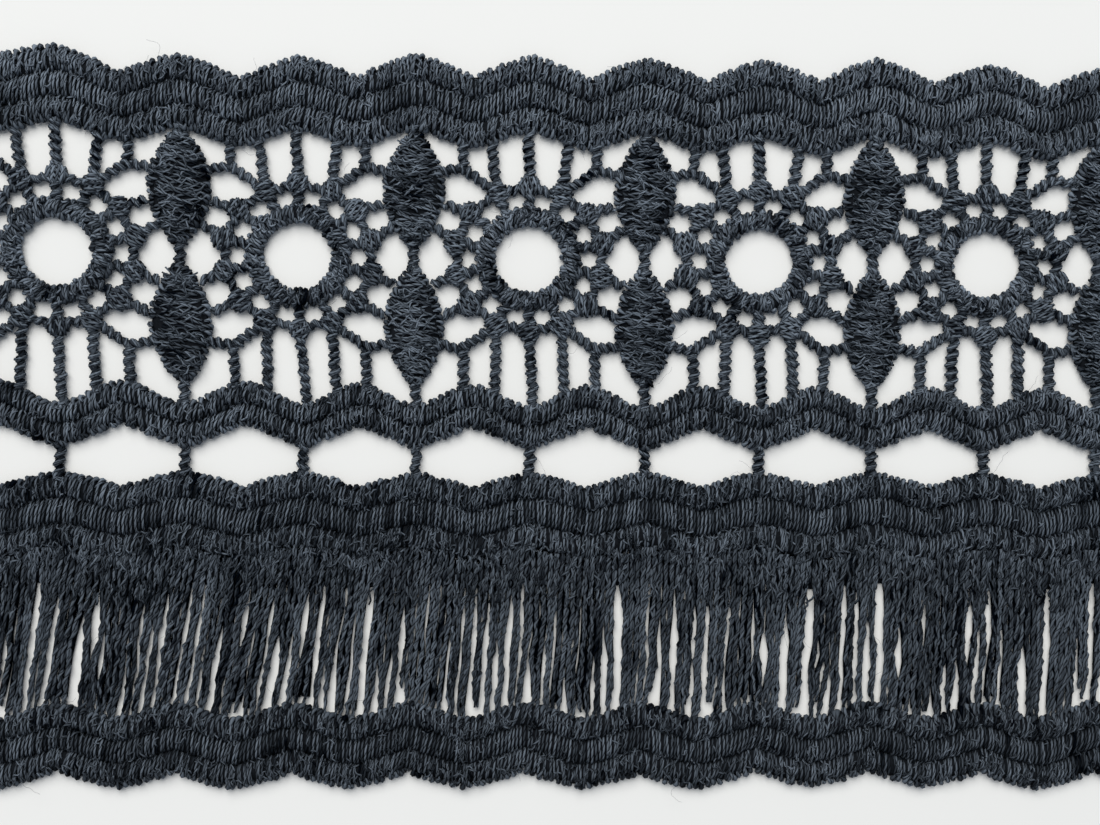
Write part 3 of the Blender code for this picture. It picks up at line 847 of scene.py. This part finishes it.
# %% Strands of the fringe
TWIST_ACROSS, TWIST_UP = 0.19 * MM, 0.12 * MM
SOFT_RADIUS = 0.22 * MM
CORE_HEIGHT = 0.44 * MM
STRANDS_SHORT, PAIRS_SHORT = 0.08, 0.1
ROOT_CROSSINGS = 520
slit_middle, slit_half = slit_lines()
strand_batches = []
share = np.linspace(0, 1, STRAND_POINTS)
bunch = 1 - 0.08 * np.clip((share - 0.8) / 0.2, 0, 1) ** 1.5
settle = np.clip(share / 0.3, 0, 1)
rounded = np.clip((share - 0.93) / 0.07, 0, 1) ** 2
for i in range(STRANDS):
    left = slit_middle[i] + slit_half[i]
    right = slit_middle[i + 1] - slit_half[i + 1]
    width = np.maximum(right - left, 0.6 * MM)
    middle = (left + right) / 2
    x0 = -HALF_LENGTH + (i + 0.5) * STRAND_PITCH
    start_y = edge_y("middle_foot", x0) + rng.uniform(0.2, 1.1) * MM
    to_hem = edge_y("hem_top", middle[-1]) - 0.5 * MM
    all_short = rng.random() < STRANDS_SHORT
    strand_end = to_hem + rng.uniform(1.0, 2.2) * MM
    hand = 1 if rng.random() < 0.7 else -1
    for pair in (-0.5, 0.5):
        short = all_short or rng.random() < PAIRS_SHORT
        stop_y = strand_end if all_short else to_hem + short * rng.uniform(1.0, 2.6) * MM
        y = start_y + (stop_y - start_y) * share
        turns = share * rng.uniform(5.0, 7.5) + 0.18 * wander(share, 0.3, rng.integers(1 << 30))
        twist = 2 * np.pi * hand * turns + rng.uniform(0, 2 * np.pi)
        slim = np.minimum(1, width * bunch / STRAND_PITCH + 0.15)
        stray = 0.13 * MM * wander(share, 0.2, rng.integers(1 << 30)) * np.minimum(1, 3 * share)
        paths = []
        for thread in (0.0, np.pi):
            px = middle + stray + pair * 0.5 * width * bunch + TWIST_ACROSS * slim * np.cos(twist + thread)
            pz = (1.22 - 0.48 * settle) * MM + TWIST_UP * np.sin(twist + thread)
            px = px + rng.normal(0, 0.035, STRAND_POINTS) * MM
            if short:
                px = px + (middle + pair * 0.3 * width * bunch - px) * 0.7 * rounded
            paths.append(np.stack([px, y, pz - 0.1 * MM * rounded], axis=1))
        thickness = SOFT_RADIUS * (1.0 - (0.35 if short else 0.1) * rounded)
        strand_batches.append(tubes(np.array(paths), thickness[None]))
        core_radius = 0.26 * width * bunch * (1 - 0.3 * rounded)
        core_y = y + short * 0.2 * MM * rounded
        core_x = middle + stray + pair * 0.5 * width * bunch
        core = np.stack([core_x, core_y, np.full(STRAND_POINTS, CORE_HEIGHT)], axis=1)
        core_tube = tubes(core[None, ::4], core_radius[None, ::4], tone=np.array([[-0.3]]), ridge=True)
        strand_batches.append(core_tube)
x = anywhere(ROOT_CROSSINGS, 1.2 * MM)
places = np.stack([x, edge_y("middle_foot", x) - rng.uniform(0.2, 5.5, len(x)) * MM], axis=1)
strand_batches.append(crossing_stitches(places, np.full(len(x), 1.24 * MM), 0.06, 0.5, 2.0 * MM, 0.16 * MM))
strands = stitched("fringe_strands", strand_batches, soft_thread)

# %% [markdown]
# ## Stray fibres
# Such a trim has a little fuzz: single fibres, far thinner than the thread, that lie loose on the face and
# stand out past the edges.

# %% Fibres
FIBRE_POINTS = 8
FIBRE_RADIUS = 0.015 * MM


def fibres(places, height, length):
    """Loose fibres that curl on the face from the places given."""
    n = len(places)
    step = length * rng.uniform(0.6, 1.5, (n, 1)) / FIBRE_POINTS
    heading = rng.uniform(0, 2 * np.pi, (n, 1)) + np.cumsum(rng.normal(0.1, 0.42, (n, FIBRE_POINTS)), axis=1)
    path = np.empty((n, FIBRE_POINTS, 3))
    path[..., 0] = places[:, :1] + np.cumsum(step * np.cos(heading), axis=1)
    path[..., 1] = places[:, 1:] + np.cumsum(step * np.sin(heading), axis=1)
    path[..., 2] = height + 0.06 * MM * np.cumsum(rng.normal(0, 0.5, (n, FIBRE_POINTS)), axis=1)
    path[..., 0] = np.clip(path[..., 0], -HALF_LENGTH, HALF_LENGTH)
    return tubes(path, FIBRE_RADIUS, tone=np.ones((1, 1)))


def fibre_places(top, foot, count):
    x = anywhere(count, 2 * MM)
    low, high = edge_y(foot, x), edge_y(top, x)
    return np.stack([x, low + rng.uniform(0, 1, count) * (high - low)], axis=1)


lace_fibres = stitched(
    "lace_fibres",
    [
        fibres(fibre_places("heading_top", "heading_foot", 60), 1.9 * MM, 3.2 * MM),
        fibres(fibre_places("heading_foot", "zigzag_foot", 34), 1.6 * MM, 2.6 * MM),
        fibres(fibre_places("middle_top", "middle_foot", 50), 1.9 * MM, 3.2 * MM),
    ],
    loop_thread,
)
fringe_fibres = stitched(
    "fringe_fibres",
    [fibres(fibre_places("middle_foot", "hem_foot", 90), 1.85 * MM, 3.2 * MM)],
    loop_thread,
)

# %% [markdown]
# ## Padding under the stitches
# The padding is what the needle wraps. It is never quite seen, but it keeps light from coming through between
# the stitches and it gives every part its body. It is black thread, coloured darker than the stitches over it
# as painted shade in the gaps between them. Bands are shaped grids with a thickness, rings are flat tori,
# leaves and knots are flattened balls. Each is modelled once and copied.

# %% Padding
def padding_finish():
    material, tree, shader = new_material("padding_painted_shade", 0.8)
    shader.inputs["Specular IOR Level"].default_value = 0.05
    grain = noise(tree, tree.nodes.new("ShaderNodeTexCoord").outputs["Object"], 2500.0)
    # Painted shade: the padding is coloured darker than the stitches over it, so the gaps between them read
    # dark.
    colour = between(tree, (0.002, 0.003, 0.004, 1.0), (0.01, 0.012, 0.016, 1.0), grain)
    link(tree, colour, shader.inputs["Base Color"])
    link(tree, bump(tree, grain, 0.08 * MM).outputs["Normal"], shader.inputs["Normal"])
    return material


padding_painted_shade = padding_finish()
PADDING_LOW = 0.32 * MM
PADDING_UNDER = 0.2 * MM
BAND_CROWN, RIB_RELIEF = 1.68 * MM, 0.94 * MM
LEAF_PAD_TOP = 1.3 * MM


def deselect():
    bpy.ops.object.select_all(action="DESELECT")


def corners_of(piece):
    corners = np.empty(len(piece.data.vertices) * 3)
    piece.data.vertices.foreach_get("co", corners)
    return corners.reshape(-1, 3)


def face_outwards():
    bpy.ops.object.mode_set(mode="EDIT")
    bpy.ops.mesh.select_all(action="SELECT")
    bpy.ops.mesh.normals_make_consistent(inside=False)
    bpy.ops.object.mode_set(mode="OBJECT")
    bpy.ops.object.shade_smooth()


def band_padding(name, top, foot, ribs, crown, inset=0.3 * MM):
    """A grid shaped to the band, its ribs raised, and given a flat underside by extruding it down."""
    deselect()
    columns, rows = 160, 4 * ribs
    bpy.ops.mesh.primitive_grid_add(x_subdivisions=columns, y_subdivisions=rows, size=1.0)
    piece = bpy.context.object
    piece.name = name
    corners = corners_of(piece)
    x = corners[:, 0] * 2 * (HALF_LENGTH - 0.3 * MM)
    low, high = edge_y(foot, x) + inset, edge_y(top, x) - inset
    across = corners[:, 1] + 0.5
    in_rib = (across * ribs) % 1.0 * 2 - 1
    in_rib = np.where((across < 1e-6) | (across > 1 - 1e-6), 1.0, in_rib)
    corners[:, 2] = crown - PADDING_UNDER - RIB_RELIEF * in_rib**2
    corners[:, 0], corners[:, 1] = x, low + (high - low) * across
    piece.data.vertices.foreach_set("co", lay(corners).ravel())
    bpy.ops.object.mode_set(mode="EDIT")
    bpy.ops.mesh.select_all(action="SELECT")
    bpy.ops.mesh.extrude_region_move()
    bpy.ops.object.mode_set(mode="OBJECT")
    corners = corners_of(piece)
    picked = np.empty(len(piece.data.vertices), dtype=bool)
    piece.data.vertices.foreach_get("select", picked)
    corners[picked, 2] = PADDING_LOW
    piece.data.vertices.foreach_set("co", corners.ravel())
    face_outwards()
    return piece


def placed_copies(first, places):
    """The first piece and its copies, each with its own mesh, moved to a place in the cloth."""
    pieces = []
    for k, place in enumerate(places):
        piece = first
        if k:
            piece = first.copy()
            piece.data = first.data.copy()
            bpy.context.scene.collection.objects.link(piece)
        pieces.append(piece)
    for piece, (x, y) in zip(pieces, places):
        corners = lay(corners_of(piece) + (x, y, 0.0))
        piece.data.vertices.foreach_set("co", corners.ravel())
    return pieces


def leaf_padding(name, top, foot, width):
    """A ball pressed flat and drawn out to the leaf's outline."""
    deselect()
    bpy.ops.mesh.primitive_uv_sphere_add(segments=16, ring_count=12, radius=1.0)
    piece = bpy.context.object
    piece.name = name
    corners = corners_of(piece)
    share = (1 - corners[:, 2]) / 2
    girth = np.hypot(corners[:, 0], corners[:, 1]) + 1e-9
    half = np.maximum(leaf_half(share, width) - 0.3 * MM, 0.0) * np.minimum(1, girth * 1.6)
    across, up = corners[:, 0] / girth, corners[:, 1] / girth
    middle = (PADDING_LOW + LEAF_PAD_TOP) / 2
    length_y = top - share * (top - foot) - (top + foot) / 2
    raised = middle + up * (LEAF_PAD_TOP - middle) * np.minimum(1, girth * 1.3)
    corners = np.stack([half * across, length_y, raised], axis=1)
    piece.data.vertices.foreach_set("co", corners.ravel())
    face_outwards()
    return piece


def flattened(piece, wide, tall):
    """Presses a round primitive flat on the underside of the stitches."""
    corners = corners_of(piece) * (1.0, wide, 1.0)
    span = np.abs(corners[:, 2]).max()
    corners[:, 2] = PADDING_LOW + tall / 2 + corners[:, 2] / span * tall / 2
    piece.data.vertices.foreach_set("co", corners.ravel())
    bpy.ops.object.shade_smooth()
    return piece


def joined(name, pieces):
    deselect()
    for piece in pieces:
        piece.select_set(True)
    bpy.context.view_layer.objects.active = pieces[0]
    bpy.ops.object.join()
    piece = pieces[0]
    piece.name = name
    piece.data.name = name
    piece.data.materials.clear()
    piece.data.materials.append(padding_painted_shade)
    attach(piece, "root")
    print(f"{name}: {sum(len(f.vertices) - 2 for f in piece.data.polygons)} triangles")
    return piece


lace_pads = [band_padding(name, *BANDS[name], BAND_CROWN) for name in ("heading", "zigzag", "middle")]
for top, foot, width in LEAVES.values():
    leaf = leaf_padding("leaf", top, foot, width)
    lace_pads += placed_copies(leaf, [(x, (top + foot) / 2) for x in leaf_xs])
deselect()
bpy.ops.mesh.primitive_torus_add(
    major_segments=48,
    minor_segments=8,
    major_radius=(RING_INSIDE + RING_OUTSIDE) / 2,
    minor_radius=(RING_OUTSIDE - RING_INSIDE) / 2 - 0.3 * MM,
)
ring = flattened(bpy.context.object, ROSETTE_FLATTENED, 1.1 * MM)
lace_pads += placed_copies(ring, [(x, ROSETTE_Y) for x in rosette_xs])
deselect()
bpy.ops.mesh.primitive_uv_sphere_add(segments=10, ring_count=6, radius=KNOT_ACROSS - 0.08 * MM)
knot = flattened(bpy.context.object, 1.0, 1.05 * MM)
lace_pads += placed_copies(knot, [tuple(place) for place in knot_xy])
lace_ground = joined("lace_padding", lace_pads)
fringe_pads = [
    band_padding("root", "middle_foot", "root_foot", 1, 1.0 * MM, inset=0.35 * MM),
    band_padding("hem_pad", *BANDS["hem"], BAND_CROWN),
]
fringe_ground = joined("fringe_padding", fringe_pads)

# %% What stands for what
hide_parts("lace")
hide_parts("fringe")
lace_threads = [band_pieces["heading"], band_pieces["zigzag"], band_pieces["middle"], leaves, rings, knots]
lace_threads += [bars, links, lace_fibres]

# %% [markdown]
# ## Floor, light and camera
# The photo was taken from almost straight above. Its light is soft and comes from a large window on the
# heading's side, a little to the left.

# %% Floor
def floor_finish():
    material, _, shader = new_material("paper", 0.9)
    shader.inputs["Base Color"].default_value = (0.83, 0.83, 0.82, 1.0)
    return material


deselect()
bpy.ops.mesh.primitive_plane_add(size=3.0, location=(0.0, 0.0, 0.0))
floor = bpy.context.object
floor.name = "floor"
floor.data.materials.append(floor_finish())

# %% Light
scene = bpy.context.scene
scene.view_settings.view_transform = "Standard"
world = bpy.data.worlds.new("soft_room")
scene.world = world
world.use_nodes = True
world.node_tree.nodes["Background"].inputs["Color"].default_value = (0.87, 0.95, 1.06, 1.0)
world.node_tree.nodes["Background"].inputs["Strength"].default_value = 0.3


def soft_light(name, at, size, watts, colour):
    deselect()
    bpy.ops.object.light_add(type="AREA", location=at)
    lamp = bpy.context.object
    lamp.name = name
    lamp.data.size = size
    lamp.data.energy = watts
    lamp.data.color = colour
    lamp.rotation_euler = (-Vector(at)).to_track_quat("-Z", "Y").to_euler()
    return lamp


WINDOW_AT, WINDOW_SIZE, WINDOW_WATTS = (-0.3, 0.95, 1.45), 1.5, 35.6
window = soft_light("window", WINDOW_AT, WINDOW_SIZE, WINDOW_WATTS, (1.0, 0.985, 0.945))

# %% Camera
CAMERA_AT = (-7.5 * MM, 4.9 * MM, 191.0 * MM)
CAMERA_TURN = tuple(math.radians(angle) for angle in (-1.07, -2.99, 0.53))
deselect()
bpy.ops.object.camera_add(location=CAMERA_AT, rotation=CAMERA_TURN)
camera = bpy.context.object
camera.data.lens = 50.0
camera.data.sensor_width = 36.0
camera.data.clip_start = 0.01
scene.camera = camera
